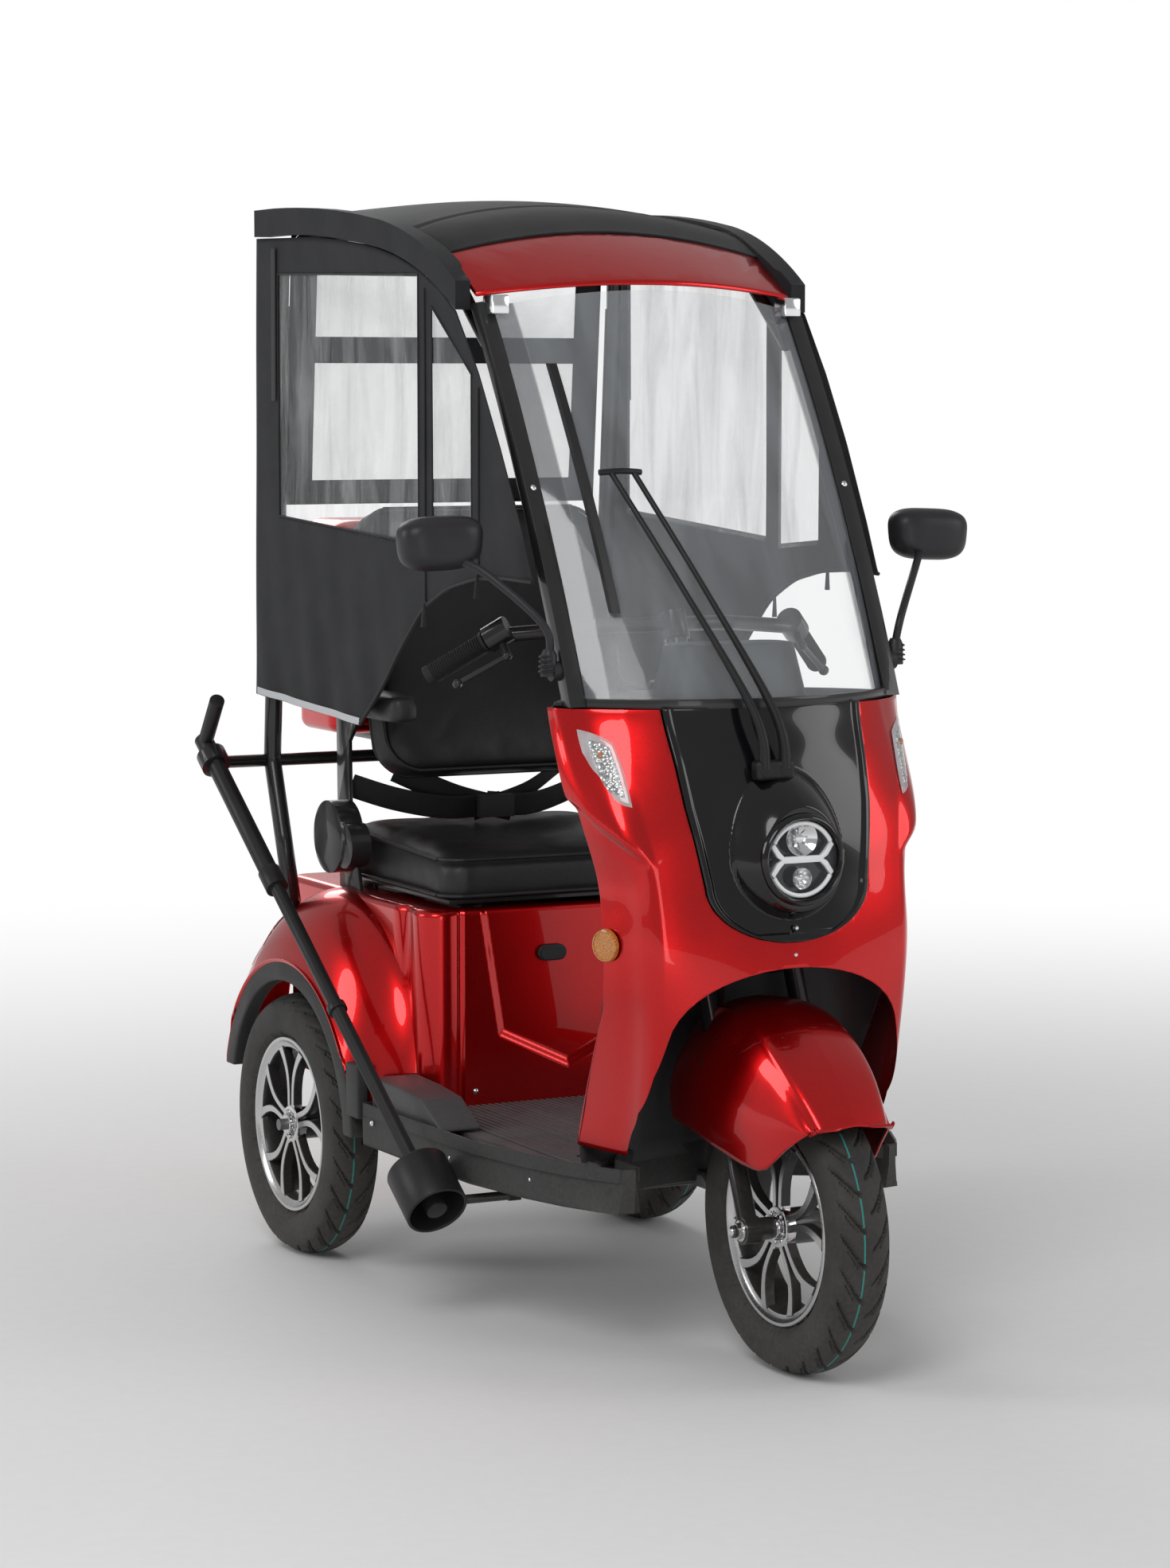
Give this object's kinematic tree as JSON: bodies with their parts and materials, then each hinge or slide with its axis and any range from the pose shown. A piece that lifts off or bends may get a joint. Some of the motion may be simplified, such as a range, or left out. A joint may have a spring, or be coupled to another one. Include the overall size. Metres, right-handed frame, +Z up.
{
  "type": "electric tricycle",
  "caption": "Small covered electric tricycle with a padded seat, curved windscreen, soft side curtains, a rear storage box and a steered front wheel.",
  "frame": {"origin": "on the floor under the middle of the overall box", "axes": "+Z up, the vehicle faces -Y, +X towards the rider's left"},
  "size_m": [0.93, 1.602, 1.6731],
  "materials": {
    "body_red": "metallic red lacquer",
    "gloss_black": "gloss black",
    "trim_black": "grained black",
    "frame_black": "satin black paint",
    "pole_black": "satin black paint",
    "axle_grey": "grey paint",
    "spring_steel": "steel",
    "battery_grey": "plain",
    "mat_grey": "ribbed purple grey rubber",
    "lamp_silver": "bright reflector",
    "lens_clear": "clear",
    "screen_clear": "clear",
    "vinyl_clear": "wavy clear vinyl",
    "signal_clear": "clear over silver",
    "reflector_amber": "amber",
    "lamp_red": "red lens",
    "roof_fabric": "coated black fabric",
    "curtain_fabric": "black fabric",
    "blade_rubber": "matte",
    "seat_leather": "black leather",
    "belt_webbing": "black webbing",
    "grip_rubber": "patterned rubber",
    "lever_black": "black coat",
    "rim_alloy": "machined faces with black pockets",
    "tyre_black": "black rubber"
  },
  "bodies": {
    "vehicle": {"chassis_frame": "frame_black", "battery_pack": "battery_grey", "rear_axle": "axle_grey", "rear_shocks": "spring_steel", "rear_body": "body_red", "arch_trims": "trim_black", "floor_tub": "trim_black", "floor_mat": "mat_grey", "front_cowl": "body_red", "nose_panel": "gloss_black", "headlamp": "lamp_silver", "headlamp_lens": "lens_clear", "inner_shield": "trim_black", "dashboard": "trim_black", "windscreen": "screen_clear", "windscreen_frame": "gloss_black", "roof_visor": "body_red", "roof_cover": "roof_fabric", "roof_lips": "roof_fabric", "canopy_frame": "frame_black", "curtain_left": "curtain_fabric", "curtain_right": "curtain_fabric", "rear_curtain": "curtain_fabric", "clear_windows": "vinyl_clear", "front_signals": "signal_clear", "side_reflectors": "reflector_amber", "wiper_arms": "frame_black", "wiper_blade": "blade_rubber", "mirror_left": "trim_black", "mirror_right": "trim_black", "seat_base": "frame_black", "seat_cushion": "seat_leather", "seat_back": "seat_leather", "recliner_brackets": "frame_black", "seat_belt": "belt_webbing", "storage_box": "body_red", "storage_rack": "frame_black", "pole_brackets": "frame_black", "support_pole": "pole_black", "pole_cup": "trim_black", "tail_lamps": "lamp_red", "charging_cap": "trim_black"},
    "steering": {"front_fork": "frame_black", "front_fender": "body_red", "handlebar": "frame_black", "grips": "grip_rubber", "brake_levers": "lever_black"},
    "front_wheel": {"rim_front": "rim_alloy", "tyre_front": "tyre_black"},
    "left_wheel": {"rim_left": "rim_alloy", "tyre_left": "tyre_black"},
    "right_wheel": {"rim_right": "rim_alloy", "tyre_right": "tyre_black"},
    "left_armrest": {"armrest_left": "seat_leather"},
    "right_armrest": {"armrest_right": "seat_leather"},
    "box_lid": {"storage_lid": "body_red"}
  },
  "joints": [
    {"name": "steer", "type": "hinge", "parent": "vehicle", "child": "steering", "pos_m": [0, -0.563, 0.208], "axis": [0, 0.3746, 0.9272], "range_deg": [-38, 38]},
    {"name": "front_wheel_spin", "type": "hinge", "parent": "steering", "child": "front_wheel", "pos_m": [0, -0.593, 0.208], "axis": [1, 0, 0], "continuous": true},
    {"name": "left_wheel_spin", "type": "hinge", "parent": "vehicle", "child": "left_wheel", "pos_m": [0.299, 0.457, 0.208], "axis": [1, 0, 0], "continuous": true},
    {"name": "right_wheel_spin", "type": "hinge", "parent": "vehicle", "child": "right_wheel", "pos_m": [-0.299, 0.457, 0.208], "axis": [1, 0, 0], "continuous": true},
    {"name": "left_armrest_tilt", "type": "hinge", "parent": "vehicle", "child": "left_armrest", "pos_m": [0.238, 0.405, 0.885], "axis": [-1, 0, 0], "range_deg": [0, 90]},
    {"name": "right_armrest_tilt", "type": "hinge", "parent": "vehicle", "child": "right_armrest", "pos_m": [-0.238, 0.405, 0.885], "axis": [-1, 0, 0], "range_deg": [0, 90]},
    {"name": "box_lid_hinge", "type": "hinge", "parent": "vehicle", "child": "box_lid", "pos_m": [0, 0.6005, 1.0455], "axis": [1, 0, 0], "range_deg": [0, 38]}
  ]
}
